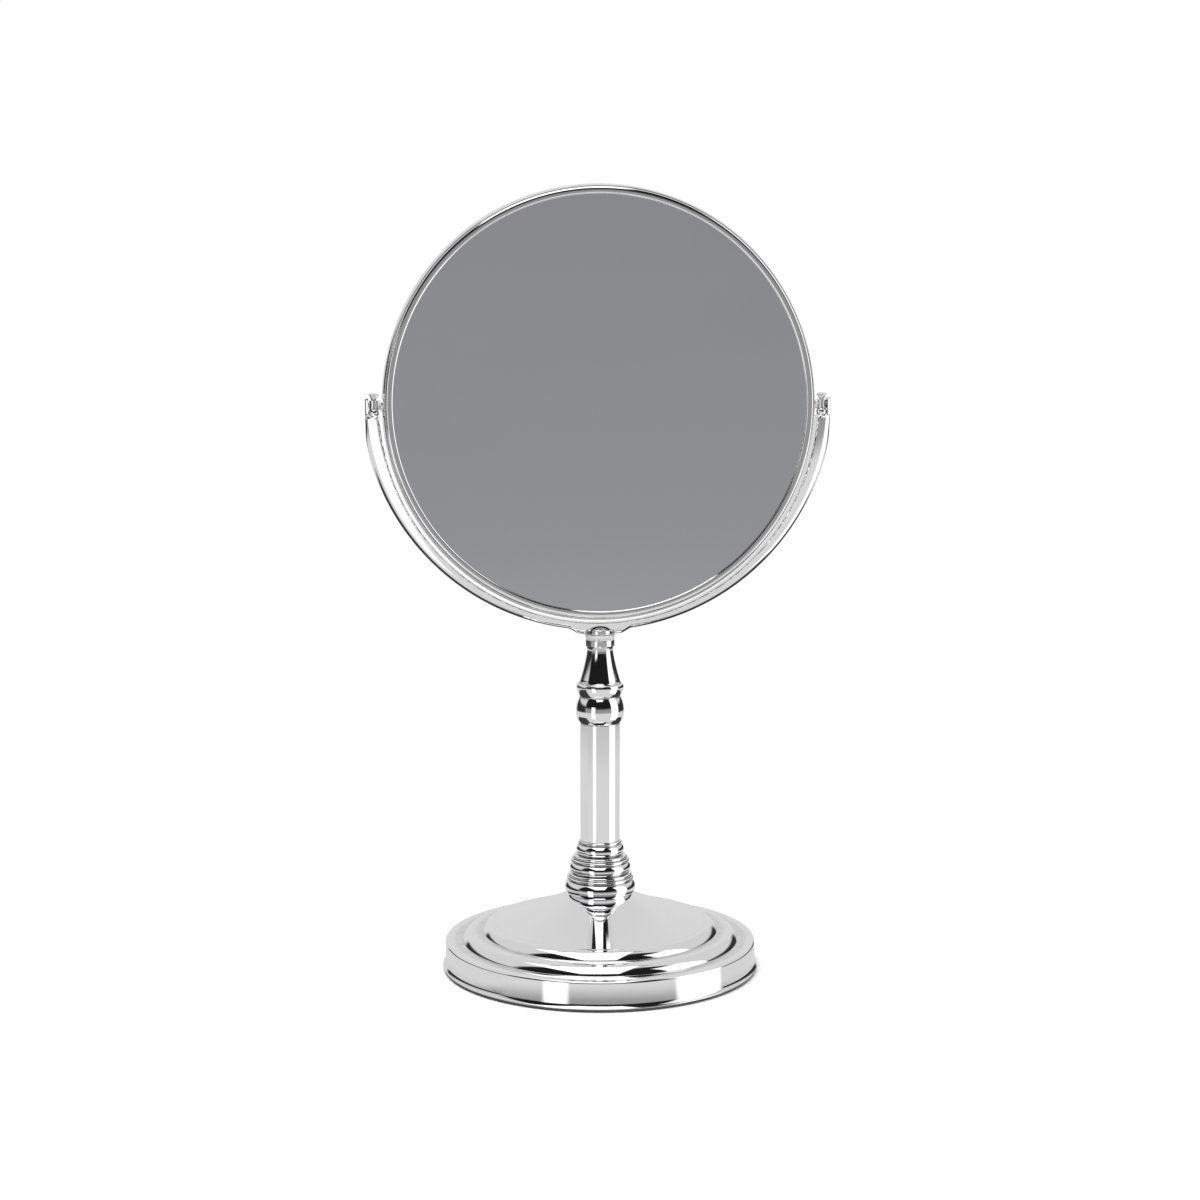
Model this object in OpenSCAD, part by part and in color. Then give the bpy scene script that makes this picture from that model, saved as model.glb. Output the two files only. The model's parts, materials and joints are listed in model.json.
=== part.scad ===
// Pedestal shaving mirror: a two-sided round mirror that tips over in a yoke on a turned column.
// Millimetres, +Z up. The origin is the middle of the underside, and the plain glass faces -Y.

/* [Mirror head] */
// Diameter of both glass discs
glass_d = 198; // [160:1:220]
// Thickness of the plain glass
plain_glass_t = 3; // [2:0.5:4]
// Thickness of the magnifying glass
magnifier_t = 2.5; // [2:0.5:3]
// Radius of the hollow face of the magnifying glass
magnifier_radius = 1000; // [1000:50:2000]
// Thickness of the whole head, from one bezel to the other
head_t = 17; // [16:0.5:24]
// Wall of the frame hoop at its crown
hoop_wall = 3.6; // [3:0.1:6]
// How far the hoop's outside swells between its edges and its crown
hoop_swell = 1.2; // [0.4:0.1:2]
// Width of glass that each bezel covers
bezel_lap = 1.1; // [0.8:0.1:3]
// Thickness of each bezel's lip over the glass
bezel_lip_t = 0.9; // [0.6:0.1:1.4]
// Width of each bezel beyond the edge of the glass
bezel_rim = 2.3; // [1.6:0.1:2.6]
// Thickness of the core board between the glasses
core_board_t = 2; // [1:0.5:2]

/* [Yoke] */
// Clearance between the hoop's crown and the inside of the yoke
yoke_gap = 1.2; // [1:0.1:4]
// Depth of the arms at their inner side, front to back
arm_depth = 8.8; // [8:0.2:12]
// Depth of the arms at the shoulder of their outer side
arm_shoulder = 4.8; // [4.8:0.2:6]
// Thickness of the arms at the pivots, across their curve
arm_side = 6.8; // [6.8:0.1:10]
// Thickness of the arms at the foot of the yoke
arm_foot = 3.8; // [3.8:0.1:6]
// How far the centre of the arms' outer curve lies above the pivots
arm_swell = 5; // [3:0.5:7]
// How far the arms run on above the pivots
arm_rise = 3.2; // [3:0.1:6]
// Depth of the boss, front to back
boss_depth = 6.6; // [6:0.2:11]
// Height of the boss under the arms
boss_drop = 2; // [2:0.5:6]
// Width of the boss at its underside
boss_w = 22; // [20:1:34]
// Diameter of the domed hub that takes the tie rod
hub_d = 12; // [11:0.5:16]

/* [Pivots] */
// Diameter of the pivot pins
pin_d = 2.2; // [1.8:0.1:2.4]
// Running clearance round a pivot pin, on the radius
pin_clear = 0.05; // [0.02:0.01:0.1]
// Diameter of the ball at the foot of each pivot post
post_ball_d = 5; // [4.8:0.1:5.4]
// Diameter of each pivot post's neck
post_neck_d = 4; // [3.6:0.1:4.4]
// Wall of the ear that closes each arm's end
ear_t = 1.8; // [1.6:0.1:2.6]
// Running clearance on each side of a friction washer
washer_play = 0.05; // [0.02:0.01:0.1]

/* [Column] */
// Outside diameter of the column tube
tube_d = 19.2; // [18:0.2:30]
// Wall of the column tube
tube_wall = 1; // [0.6:0.1:2]
// Length of the column tube
tube_len = 57.5; // [30:0.5:160]
// Diameter of the threaded tie rod
rod_d = 6; // [4:0.5:7]
// Clearance round the tie rod, on the radius
rod_clear = 0.2; // [0.1:0.05:0.5]
// Length of the spigots that the tube slides over
spigot_len = 6; // [4:0.5:12]
// Clearance round each spigot, on the radius
spigot_clear = 0.1; // [0.05:0.05:0.3]
// Diameter of the baluster's neck
neck_d = 12.6; // [12:0.1:17]
// Height of the baluster's bell, without its flare
bell_h = 13.6; // [8:0.2:30]
// Diameter of the large ring at the bottom of the beehive
beehive_d = 34.4; // [34:0.2:50]

/* [Base] */
// Diameter of the base cover's wall
base_d = 150.6; // [136:0.2:220]
// Height from the underside to the seat of the column
base_h = 36; // [34:0.2:46]
// Radius of the hollow curve in which the base rises to the column
rise_hollow_r = 250; // [90:10:400]
// Thickness of the base cover's sheet
cover_t = 1.2; // [0.8:0.1:2]
// Height of the flat ring round the base cover
rim_h = 14.1; // [13:0.1:16]
// How far the foot of the base cover flares out past its wall
foot_flare = 1.2; // [0.6:0.1:2]
// Thickness of the non-slip pad
pad_t = 1.4; // [1.2:0.1:4]
// How far the non-slip pad stands in from the foot of the cover
pad_in = 0.9; // [0.5:0.1:2]
// Thickness of the plate that closes the base
base_plate_t = 2; // [1:0.2:2]
// Thickness of the ballast disc
ballast_t = 4; // [2:0.5:5]

/* [Hidden] */
$fn = 96;
large_fn = 240;
eps = 0.01;

chrome = "gainsboro";
dark_rubber = "dimgray";
glass_tint = "lightslategray";

// Head, measured from its own centre along its own Y
glass_r = glass_d / 2;
glass_play = 0.4;
hoop_in_r = glass_r + glass_play;
hoop_r = hoop_in_r + hoop_wall;
bezel_side_t = 1.5;
hoop_half_t = head_t / 2 - bezel_side_t;
glass_face_y = head_t / 2 - bezel_lip_t;
plain_back_y = -glass_face_y + plain_glass_t;
magnifier_sag = magnifier_radius - sqrt(pow(magnifier_radius, 2) - pow(glass_r, 2));
magnifier_centre_y = glass_face_y - magnifier_sag + magnifier_radius;
magnifier_back_r = magnifier_radius + magnifier_t;
magnifier_back_y = magnifier_centre_y - magnifier_back_r;
foam_t = (magnifier_back_y - plain_back_y - core_board_t) / 2;
board_y = plain_back_y + foam_t;
board_play = 6;
foam_play = 12;
rear_foam_r = 60;
foam_clear = 0.05;

// Yoke
yoke_in_r = hoop_r + yoke_gap;
yoke_arc_r = yoke_in_r + arm_foot + arm_swell;
arm_x = yoke_in_r + arm_side;
arm_face_w = 10;
arm_shoulder_w = 2.5;
arm_face_crown_r = 40;
arm_edge_crown_r = 4.4;
boss_flare = 3.5;

// Pivots, measured from the pivot axis
post_ball_r = post_ball_d / 2;
ear_x = arm_x - ear_t;
post_x = ear_x - post_ball_r;
ball_z = -3.7;
seat_z = ball_z - 0.6 * post_ball_r;
cap_z = arm_rise - 1.1;
cap_h = 2.6;
cap_dome_h = 0.8;
hoop_boss_r = 3.4;
hoop_boss_x = hoop_r + 0.1;
friction_washer_r = 2.2;
friction_washer_t = post_x - post_neck_d / 2 - hoop_boss_x - 2 * washer_play;
pin_bore_r = pin_d / 2 + pin_clear;
bush_r = 2.2;
bush_len = 1.3;
pin_end_play = 0.2;
pin_head_r = 2.2;
pin_head_t = 1.2;

// Base, from the floor up
base_r = base_d / 2;
rim_w = 8.4;
rim_edge_r = 1;
riser_w = 4.4;
riser_h = 4.1;
ledge_w = 5.5;
upper_riser_w = 5.5;
cover_z = pad_t;
step_r = base_r - rim_w;
ledge_r = step_r - riser_w;
upper_step_r = ledge_r - ledge_w;
rise_r = upper_step_r - upper_riser_w;
rise_z = rim_h + 2 * riser_h;
foot_flare_h = 2.4;
foot_edge_h = 0.4;
ballast_play = 3;
ballast_z = pad_t + base_plate_t;
nut_pocket_r = 1.7 * rod_d;
ballast_hub_r = nut_pocket_r + 2.8;
nut_pocket_h = 8;
base_nut_t = 0.8 * rod_d;
base_washer_t = 1.6;
base_washer_r = 1.5 * rod_d;
rod_bore_r = rod_d / 2 + rod_clear;
rod_end_play = 0.6;

// Beehive collar, from its seat up, in steps that narrow from the large ring to the tube
beehive_r = beehive_d / 2;
tube_r = tube_d / 2;
spigot_r = tube_r - tube_wall - spigot_clear;
large_ring_h = 7.2;
large_ring_over = 2;
collar_foot_r = beehive_r - large_ring_over;
fine_h = 1.6;
middle_ring_h = 5.6;
small_ring_h = 5.6;
lip_h = 1.6;
bead_over = 1;
small_ring_over = 2;
taper = (beehive_r - tube_r - small_ring_over) / 6;
beehive_h = large_ring_h + 2 * fine_h + middle_ring_h + 2 * fine_h + small_ring_h + lip_h;

// Baluster, from the tube up
tube_z = base_h + beehive_h;
baluster_z = tube_z + tube_len;
ring_over = 1.85;
skirt_h = 4.4;
cup_h = 8.6;
groove_in = 0.3;
waist_h = 4.6;
ring_h = 1.4;
flare_h = 2.2;
neck_h = 1.4;
crown_h = 4.5;
crown_over = 0.7;
bell_z = skirt_h + cup_h + waist_h + ring_h + flare_h;
baluster_h = bell_z + bell_h + neck_h + crown_h;
neck_r = neck_d / 2;

// Yoke height over the column
yoke_washer_t = 2.4;
yoke_washer_in = 0.4;
yoke_washer_r = neck_r + crown_over + 0.2;
boss_z = baluster_z + baluster_h + yoke_washer_t;
axis_z = boss_z + boss_drop + arm_foot + yoke_in_r;
hub_r = hub_d / 2;
hub_dome_h = 2.4;
hub_h = boss_drop + arm_foot - 1.3;
insert_roof = 1.6;
insert_r = rod_d / 2 + 1.2;
insert_len = hub_h - insert_roof;
rod_top_z = boss_z + insert_len - rod_end_play;
rod_foot_z = ballast_z + rod_end_play;

// Points on an arc from p to q. The centre lies to the left of the way from p to q when r is
// positive, and to the right when r is negative. The arc is never more than a half turn.
function arc(p, q, r, n = 6) =
    let (
        d = q - p,
        span = norm(d),
        left = [-d.y, d.x] / span,
        away = sqrt(max(0, r * r - span * span / 4)),
        c = (p + q) / 2 + sign(r) * away * left,
        a = atan2(p.y - c.y, p.x - c.x),
        turn = 2 * asin(min(1, span / (2 * abs(r)))) * sign(r)
    )
    [for (i = [0:n]) c + abs(r) * [cos(a + turn * i / n), sin(a + turn * i / n)]];

// A ring of the beehive: a half-round outline of height h and radius r, bulging outwards
function bulge(z, h, r, depth) = arc([r - depth, z], [r - depth, z + h],
    (h * h / 4 + depth * depth) / (2 * depth), 8);

// Turns a shape built about +Z so that its axis lies along Y, at the pivot height
module at_axis() {
    translate([0, 0, axis_z]) rotate([-90, 0, 0]) children();
}

// Draws a shape about the pivot axis on the right, and on the left when side is -1
module on_side(side) {
    translate([0, 0, axis_z]) mirror([side < 0 ? 1 : 0, 0, 0]) children();
}

// A cylinder along +X from x0 to x1
module rod_x(x0, x1, r) {
    translate([x0, 0, 0]) rotate([0, 90, 0]) cylinder(h = x1 - x0, r = r);
}

// ---------- Base ----------

module non_slip_pad() {
    edge = 0.3;
    pad_r = base_r + foot_flare - pad_in;
    color(dark_rubber) rotate_extrude() polygon([
        [0, 0], [pad_r - edge, 0], [pad_r, edge], [pad_r, pad_t - edge], [pad_r - edge, pad_t],
        [0, pad_t]
    ]);
}

module base_plate() {
    play = 0.2;
    color("black") translate([0, 0, pad_t])
        cylinder(h = base_plate_t, r = base_r - cover_t - play);
}

module base_weight() {
    color("slategray") difference() {
        union() {
            translate([0, 0, ballast_z]) cylinder(h = ballast_t, r = base_r - cover_t - ballast_play);
            intersection() {
                translate([0, 0, ballast_z]) cylinder(h = base_h - ballast_z, r = ballast_hub_r);
                base_cavity();
            }
        }
        translate([0, 0, ballast_z - 1]) cylinder(h = base_h, r = rod_bore_r);
        translate([0, 0, ballast_z - 1]) cylinder(h = nut_pocket_h + 1, r = nut_pocket_r);
    }
}

// Solid outline of the base cover: flared foot, wall, flat ring, two rounded steps and a hollow
// curve that rises to a flat seat for the collar
module base_outline() {
    rotate_extrude() polygon(concat(
        [[0, cover_z], [base_r + foot_flare, cover_z]],
        arc([base_r + foot_flare, cover_z + foot_edge_h], [base_r, cover_z + foot_flare_h], -3, 4),
        arc([base_r, rim_h - rim_edge_r], [base_r - rim_edge_r, rim_h], rim_edge_r, 4),
        arc([step_r, rim_h], [ledge_r, rim_h + riser_h], riser_w * 1.3),
        arc([upper_step_r, rim_h + riser_h], [rise_r, rise_z], upper_riser_w * 1.2),
        arc([rise_r, rise_z], [collar_foot_r, base_h], -rise_hollow_r, 8),
        [[0, base_h]]
    ));
}

// The space under the base cover
module base_cavity() {
    intersection() {
        translate([0, 0, -cover_t]) base_outline();
        cylinder(h = base_h, r = base_r - cover_t);
    }
}

module base_cover() {
    color(chrome) difference() {
        base_outline();
        base_cavity();
        cylinder(h = base_h + 1, r = rod_bore_r);
    }
}

module base_washer() {
    color("silver") translate([0, 0, ballast_z + nut_pocket_h - base_washer_t]) difference() {
        cylinder(h = base_washer_t, r = base_washer_r);
        translate([0, 0, -1]) cylinder(h = base_washer_t + 2, r = rod_bore_r);
    }
}

module base_nut() {
    across_flats = 1.667 * rod_d;
    color("silver") translate([0, 0, ballast_z + nut_pocket_h - base_washer_t - base_nut_t])
        difference() {
            cylinder(h = base_nut_t, r = across_flats / sqrt(3), $fn = 6);
            translate([0, 0, -1]) cylinder(h = base_nut_t + 2, r = rod_d / 2);
        }
}

// ---------- Column ----------

module ring_collar() {
    fine_z = large_ring_h;
    middle_z = fine_z + 2 * fine_h;
    upper_fine_z = middle_z + middle_ring_h;
    small_z = upper_fine_z + 2 * fine_h;
    lip_z = small_z + small_ring_h;
    fine_depth = 0.5;
    color(chrome) translate([0, 0, base_h]) difference() {
        union() {
            rotate_extrude() polygon(concat(
                [[0, 0]],
                bulge(0, large_ring_h, beehive_r, large_ring_over),
                bulge(fine_z, fine_h, beehive_r - taper, fine_depth),
                bulge(fine_z + fine_h, fine_h, beehive_r - 1.9 * taper, fine_depth),
                bulge(middle_z, middle_ring_h, beehive_r - 2.5 * taper, 1.7),
                bulge(upper_fine_z, fine_h, beehive_r - 3.2 * taper, fine_depth),
                bulge(upper_fine_z + fine_h, fine_h, beehive_r - 4.4 * taper, fine_depth),
                bulge(small_z, small_ring_h, tube_r + small_ring_over, 1.5),
                bulge(lip_z, lip_h, tube_r + bead_over, fine_depth),
                [[0, beehive_h]]
            ));
            translate([0, 0, beehive_h - eps]) cylinder(h = spigot_len, r = spigot_r);
        }
        translate([0, 0, -1]) cylinder(h = beehive_h + spigot_len + 2, r = rod_bore_r);
    }
}

module column_tube() {
    color(chrome) translate([0, 0, tube_z]) difference() {
        cylinder(h = tube_len, r = tube_r);
        translate([0, 0, -1]) cylinder(h = tube_len + 2, r = tube_r - tube_wall);
    }
}

module baluster() {
    ring_r = tube_r + ring_over;
    groove_r = tube_r + groove_in;
    groove_z = skirt_h + cup_h;
    ring_z = groove_z + waist_h;
    bell_foot_r = tube_r;
    neck_z = bell_z + bell_h;
    crown_r = neck_r + crown_over;
    color(chrome) translate([0, 0, baluster_z]) difference() {
        union() {
            rotate_extrude() polygon(concat(
                [[0, 0], [tube_r, 0]],
                arc([tube_r, 0.2], [ring_r, skirt_h - 0.5], 9),
                arc([ring_r, skirt_h], [groove_r, groove_z], 14),
                arc([groove_r, groove_z + 0.4], [ring_r, ring_z], 12),
                arc([ring_r, ring_z + 0.3], [ring_r - 0.3, ring_z + ring_h], 3, 3),
                arc([ring_r - 0.4, ring_z + ring_h], [bell_foot_r, bell_z], -3),
                arc([bell_foot_r, bell_z], [neck_r, neck_z], -98),
                arc([neck_r, neck_z + neck_h], [crown_r, neck_z + neck_h + 1.6], -4, 4),
                [[crown_r, baluster_h], [0, baluster_h]]
            ));
            translate([0, 0, -spigot_len]) cylinder(h = spigot_len + eps, r = spigot_r);
        }
        translate([0, 0, -spigot_len - 1]) cylinder(h = baluster_h + spigot_len + 2, r = rod_bore_r);
    }
}

module tie_rod() {
    color("silver") translate([0, 0, rod_foot_z]) cylinder(h = rod_top_z - rod_foot_z, r = rod_d / 2);
}

// ---------- Yoke ----------

module yoke_washer() {
    color("white") translate([0, 0, boss_z - yoke_washer_t]) difference() {
        union() {
            cylinder(h = yoke_washer_t / 2, r = yoke_washer_r - yoke_washer_in);
            translate([0, 0, yoke_washer_t / 2]) cylinder(h = yoke_washer_t / 2, r = yoke_washer_r);
        }
        translate([0, 0, -1]) cylinder(h = yoke_washer_t + 2, r = rod_bore_r);
    }
}

// The full disc from which the arms are cut: crowned faces that fall away to a rounded edge
module arm_disc() {
    half = arm_depth / 2;
    edge = arm_shoulder / 2;
    face_r = yoke_arc_r - arm_face_w;
    shoulder_r = yoke_arc_r - arm_shoulder_w;
    translate([0, 0, arm_swell]) rotate([90, 0, 0]) rotate_extrude($fn = large_fn) polygon(concat(
        [[0, half], [0, -half]],
        arc([face_r, -half], [shoulder_r, -edge], arm_face_crown_r, 4),
        arc([shoulder_r, -edge], [yoke_arc_r, 0], arm_edge_crown_r, 5),
        arc([yoke_arc_r, 0], [shoulder_r, edge], arm_edge_crown_r, 5),
        arc([shoulder_r, edge], [face_r, half], arm_face_crown_r, 4)
    ));
}

// The boss under the arms, with sloping shoulders, seen from the front
module boss() {
    shoulder_z = boss_z - axis_z + boss_drop + 1;
    foot = boss_z - axis_z;
    translate([0, boss_depth / 2, 0]) rotate([90, 0, 0]) linear_extrude(boss_depth) polygon([
        [-boss_w / 2, foot], [boss_w / 2, foot], [boss_w / 2 + boss_flare, shoulder_z],
        [boss_w / 2 + boss_flare, foot + hub_h], [-boss_w / 2 - boss_flare, foot + hub_h],
        [-boss_w / 2 - boss_flare, shoulder_z]
    ]);
}

// The round hub in the middle of the boss, with a domed top
module hub() {
    hub_dome_r = (hub_r * hub_r + hub_dome_h * hub_dome_h) / (2 * hub_dome_h);
    translate([0, 0, boss_z - axis_z]) rotate_extrude() polygon(concat(
        [[0, 0], [hub_r, 0]],
        arc([hub_r, hub_h - hub_dome_h], [0, hub_h], hub_dome_r)
    ));
}

// The notch, the ball's seat and the bore for the bush at one end of the yoke
module arm_end_cut() {
    translate([yoke_in_r - 5, -arm_depth, seat_z])
        cube([ear_x - yoke_in_r + 5, 2 * arm_depth, arm_rise - seat_z + 1]);
    intersection() {
        translate([post_x, 0, ball_z]) sphere(r = post_ball_r);
        translate([post_x, 0, seat_z]) cube(2 * post_ball_r, center = true);
    }
    rod_x(ear_x - 1, ear_x + bush_len, bush_r);
}

module yoke() {
    color(chrome) translate([0, 0, axis_z]) difference() {
        union() {
            intersection() {
                arm_disc();
                translate([-arm_x, -arm_depth, -yoke_arc_r])
                    cube([2 * arm_x, 2 * arm_depth, yoke_arc_r + arm_rise]);
            }
            boss();
        }
        rotate([90, 0, 0]) cylinder(h = 4 * arm_depth, r = yoke_in_r, center = true, $fn = large_fn);
        arm_end_cut();
        mirror([1, 0, 0]) arm_end_cut();
        translate([0, 0, boss_z - axis_z - 1]) cylinder(h = insert_len + 1, r = insert_r);
    }
    color(chrome) translate([0, 0, axis_z]) difference() {
        hub();
        translate([0, 0, boss_z - axis_z - 1]) cylinder(h = insert_len + 1, r = insert_r);
    }
}

module yoke_insert() {
    color("goldenrod") translate([0, 0, boss_z]) difference() {
        cylinder(h = insert_len, r = insert_r);
        translate([0, 0, -1]) cylinder(h = insert_len + 2, r = rod_d / 2);
    }
}

// ---------- Pivots ----------

// A turned post: a ball that sits in the arm, a neck bored for the pin and a flared cap
module pivot_post(side) {
    cap_r = post_ball_r;
    color(chrome) on_side(side) difference() {
        union() {
            translate([post_x, 0, ball_z]) sphere(r = post_ball_r);
            translate([post_x, 0, ball_z]) cylinder(h = cap_z - ball_z, r = post_neck_d / 2);
            translate([post_x, 0, cap_z])
                cylinder(h = cap_h, r1 = 0.55 * post_neck_d / 2, r2 = cap_r);
            translate([post_x, 0, cap_z + cap_h])
                cylinder(h = cap_dome_h, r1 = cap_r, r2 = cap_r / 2);
        }
        rod_x(post_x - post_ball_r - 1, post_x + post_ball_r + 1, pin_bore_r);
    }
}

module pivot_bush(side) {
    color("white") on_side(side) difference() {
        rod_x(ear_x, ear_x + bush_len, bush_r);
        rod_x(ear_x - 1, ear_x + bush_len + 1, pin_bore_r);
    }
}

module pivot_pin(side) {
    head_x = hoop_in_r - 0.05;
    color("silver") on_side(side) {
        rod_x(head_x - pin_head_t, head_x, pin_head_r);
        rod_x(head_x - eps, ear_x + bush_len - pin_end_play, pin_d / 2);
    }
}

module friction_washer(side) {
    color("white") on_side(side) difference() {
        rod_x(hoop_boss_x + washer_play, hoop_boss_x + washer_play + friction_washer_t,
            friction_washer_r);
        rod_x(hoop_boss_x, hoop_boss_x + friction_washer_t + 1, pin_d / 2);
    }
}

// ---------- Mirror head ----------

module frame_hoop() {
    crown_r = (pow(hoop_half_t, 2) + pow(hoop_swell, 2)) / (2 * hoop_swell);
    color(chrome) difference() {
        union() {
            at_axis() rotate_extrude() difference() {
                intersection() {
                    translate([hoop_r - crown_r, 0]) circle(r = crown_r);
                    translate([0, -hoop_half_t]) square([hoop_r + 1, 2 * hoop_half_t]);
                }
                translate([-1, -head_t]) square([hoop_in_r + 1, 2 * head_t]);
            }
            on_side(1) rod_x(hoop_in_r + 1, hoop_boss_x, hoop_boss_r);
            on_side(-1) rod_x(hoop_in_r + 1, hoop_boss_x, hoop_boss_r);
        }
        on_side(1) rod_x(hoop_in_r - 2, hoop_r + 2, pin_d / 2);
        on_side(-1) rod_x(hoop_in_r - 2, hoop_r + 2, pin_d / 2);
    }
}

// A bezel in the half of the head where the axis runs along +Z: a lip over the glass, a rounded
// rim, and a flat seat on the edge of the hoop
module bezel_ring() {
    lip_r = glass_r - bezel_lap;
    rim_r = glass_r + bezel_rim;
    rotate_extrude() polygon(concat(
        [[lip_r, glass_face_y], [hoop_in_r, glass_face_y], [hoop_in_r, hoop_half_t]],
        [[rim_r, hoop_half_t]],
        arc([rim_r, hoop_half_t + 0.4], [rim_r - 1.1, head_t / 2], 1.2, 5),
        arc([lip_r + 0.7, head_t / 2], [lip_r, glass_face_y + 0.2], 0.8, 4)
    ));
}

module front_bezel() {
    color(chrome) at_axis() mirror([0, 0, 1]) bezel_ring();
}

module rear_bezel() {
    color(chrome) at_axis() bezel_ring();
}

module plain_glass() {
    color(glass_tint) at_axis() translate([0, 0, -glass_face_y])
        cylinder(h = plain_glass_t, r = glass_r);
}

// Height of the magnifying glass's bulged back at radius r
function magnifier_back_at(r) = magnifier_centre_y - sqrt(pow(magnifier_back_r, 2) - r * r);

module magnifying_glass() {
    color(glass_tint) at_axis() rotate_extrude() polygon(concat(
        arc([0, magnifier_back_y], [glass_r, magnifier_back_at(glass_r)], magnifier_back_r, 10),
        arc([glass_r, glass_face_y], [0, glass_face_y - magnifier_sag], -magnifier_radius, 10)
    ));
}

module core_board() {
    color("peru") at_axis() translate([0, 0, board_y])
        cylinder(h = core_board_t, r = glass_r - board_play);
}

module front_foam_pad() {
    color("whitesmoke") at_axis() translate([0, 0, plain_back_y])
        cylinder(h = foam_t, r = glass_r - foam_play);
}

module rear_foam_pad() {
    color("whitesmoke") at_axis() rotate_extrude() polygon(concat(
        [[0, board_y + core_board_t], [rear_foam_r, board_y + core_board_t]],
        arc([rear_foam_r, magnifier_back_at(rear_foam_r) - foam_clear], [0, magnifier_back_y],
            -magnifier_back_r, 6)
    ));
}

non_slip_pad();
base_plate();
base_weight();
base_cover();
base_nut();
base_washer();
ring_collar();
column_tube();
baluster();
tie_rod();
yoke_washer();
yoke();
yoke_insert();
pivot_post(-1);  // pivot_post_left
pivot_post(1);  // pivot_post_right
pivot_bush(-1);  // pivot_bush_left
pivot_bush(1);  // pivot_bush_right
frame_hoop();
front_bezel();
rear_bezel();
plain_glass();
magnifying_glass();
core_board();
front_foam_pad();
rear_foam_pad();
pivot_pin(-1);  // pivot_pin_left
pivot_pin(1);  // pivot_pin_right
friction_washer(-1);  // friction_washer_left
friction_washer(1);  // friction_washer_right
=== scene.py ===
# Pedestal shaving mirror: a two-sided round mirror in a yoke on a turned and plated column.
import json
import math

import bmesh
import bpy
import numpy as np
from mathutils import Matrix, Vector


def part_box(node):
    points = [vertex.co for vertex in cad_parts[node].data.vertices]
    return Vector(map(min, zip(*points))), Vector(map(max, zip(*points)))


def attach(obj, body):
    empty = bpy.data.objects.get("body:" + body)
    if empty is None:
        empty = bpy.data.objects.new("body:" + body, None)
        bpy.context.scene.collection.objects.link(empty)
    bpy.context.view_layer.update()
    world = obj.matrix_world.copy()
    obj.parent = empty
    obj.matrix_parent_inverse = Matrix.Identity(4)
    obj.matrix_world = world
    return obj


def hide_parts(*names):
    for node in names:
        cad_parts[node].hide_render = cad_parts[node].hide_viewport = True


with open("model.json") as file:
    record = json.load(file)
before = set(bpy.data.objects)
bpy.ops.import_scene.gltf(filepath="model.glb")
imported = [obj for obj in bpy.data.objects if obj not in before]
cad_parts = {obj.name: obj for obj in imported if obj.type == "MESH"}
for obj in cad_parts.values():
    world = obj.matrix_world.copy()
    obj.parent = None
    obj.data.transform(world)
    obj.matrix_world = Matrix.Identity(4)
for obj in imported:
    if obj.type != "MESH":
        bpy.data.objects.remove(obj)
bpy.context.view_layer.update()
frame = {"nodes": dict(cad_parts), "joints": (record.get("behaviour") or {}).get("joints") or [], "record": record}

bl_info = {
    "name": "Pedestal Shaving Mirror",
    "version": (1, 0, 0),
    "blender": (4, 5, 0),
    "location": "View3D > Sidebar > Shaving Mirror",
    "description": "Builds the finished surfaces of a two-sided pedestal shaving mirror",
    "category": "Object",
}

# Profiles are worked out in millimetres and written to meshes in metres.
MM = 0.001


def node_box(node):
    """Lowest and highest corner of a CAD node, in millimetres."""
    return [np.array(corner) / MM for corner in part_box(node)]


PAD_HIGH = node_box("non_slip_pad")[1]
COVER_HIGH = node_box("base_cover")[1]
COLLAR_LOW, COLLAR_HIGH = node_box("ring_collar")
TUBE_LOW, TUBE_HIGH = node_box("column_tube")
BALUSTER_HIGH = node_box("baluster")[1]
WASHER_HIGH = node_box("yoke_washer")[1]
YOKE_HIGH = node_box("yoke")[1]
HOOP_HIGH = node_box("frame_hoop")[1]
BEZEL_HIGH = node_box("front_bezel")[1]
REAR_BEZEL_HIGH = node_box("rear_bezel")[1]
PLAIN_LOW, PLAIN_HIGH = node_box("plain_glass")
MAGNIFIER_HIGH = node_box("magnifying_glass")[1]
POST_LOW, POST_HIGH = node_box("pivot_post_right")

# How far the foot of the cover flares out, and how far the collar's largest ring swells
FOOT_FLARE = 1.2
COLLAR_SWELL = 2.0

FOOT_R = COVER_HIGH[0]
BASE_R = FOOT_R - FOOT_FLARE
PAD_R = PAD_HIGH[0]
PAD_TOP = PAD_HIGH[2]
BASE_TOP = COLLAR_LOW[2]
COLLAR_R = COLLAR_HIGH[0]
COLLAR_FOOT_R = COLLAR_R - COLLAR_SWELL
TUBE_R = TUBE_HIGH[0]
TUBE_FOOT = TUBE_LOW[2]
TUBE_TOP = TUBE_HIGH[2]
BALUSTER_TOP = BALUSTER_HIGH[2]
BOSS_FOOT = WASHER_HIGH[2]
GLASS_R = PLAIN_HIGH[0]
PIVOT_Z = frame["joints"][0]["pos_m"][2] / MM
HOOP_R = HOOP_HIGH[2] - PIVOT_Z
HOOP_HALF = HOOP_HIGH[1]
HEAD_HALF = REAR_BEZEL_HIGH[1]
BEZEL_R = BEZEL_HIGH[2] - PIVOT_Z
PIVOT_POINT = (0.0, 0.0, PIVOT_Z)


# ---------- Outlines ----------

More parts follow.
